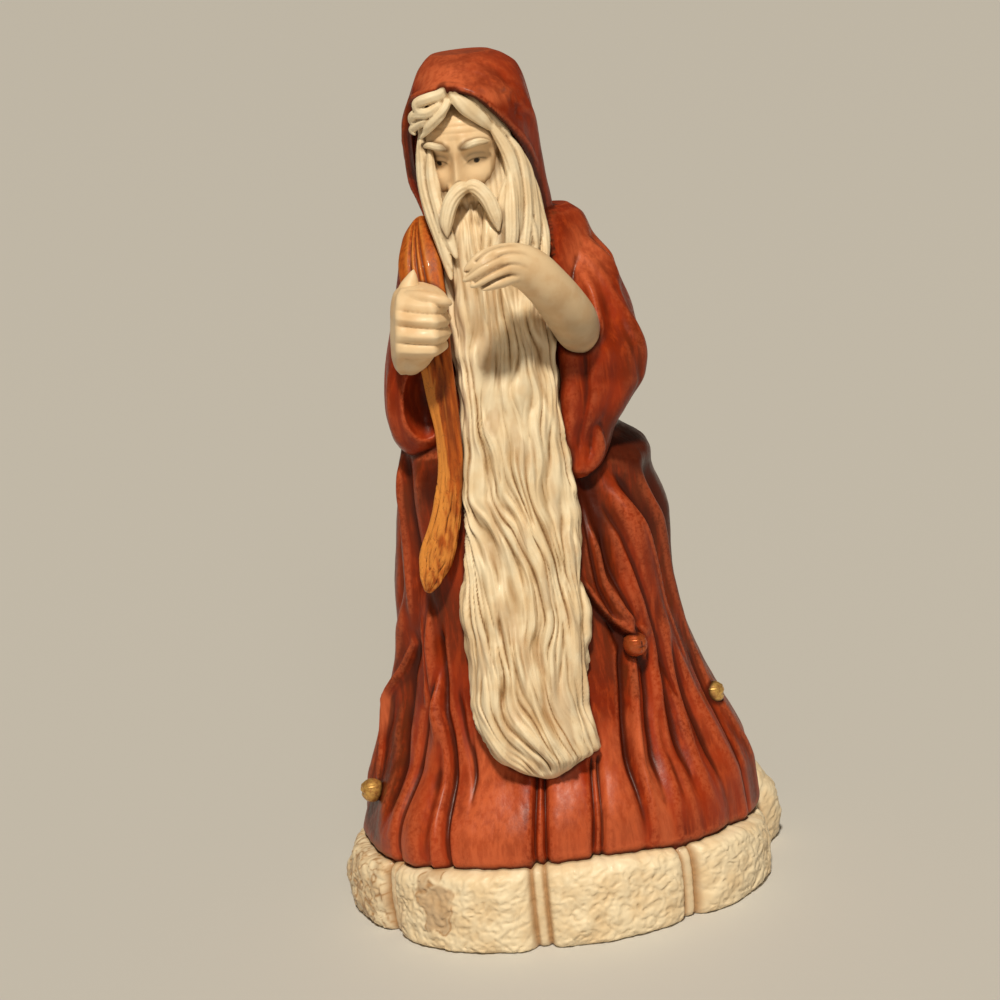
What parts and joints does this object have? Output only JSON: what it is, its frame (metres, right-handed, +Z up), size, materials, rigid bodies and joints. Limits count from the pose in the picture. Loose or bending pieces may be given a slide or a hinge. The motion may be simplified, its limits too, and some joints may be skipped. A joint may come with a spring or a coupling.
{
  "type": "santa figurine",
  "caption": "Standing hooded winter figure with a long beard, wide sleeves, raised hand, orange stole and fur hem, cast as one painted piece.",
  "frame": {"origin": "on the flat underside, below the middle of the figure", "axes": "+Z up, -Y the way the figure faces, +X the figure's own left"},
  "size_m": [0.1368, 0.1228, 0.254],
  "materials": {
    "robe_paint": "deep brick-red satin paint on bisque, wiped thin on the ridges and dark in the folds",
    "beard_paint": "cream satin paint with an umber wash left in the grooves, on beard, hair and fur hem",
    "flesh_paint": "warm flesh satin paint on face and hands",
    "stole_paint": "streaky orange-gold satin paint on the stole",
    "bell_gold": "antique gold paint on the small bells"
  },
  "bodies": {
    "root": {"santa_figurine": "robe_paint"}
  },
  "joints": []
}
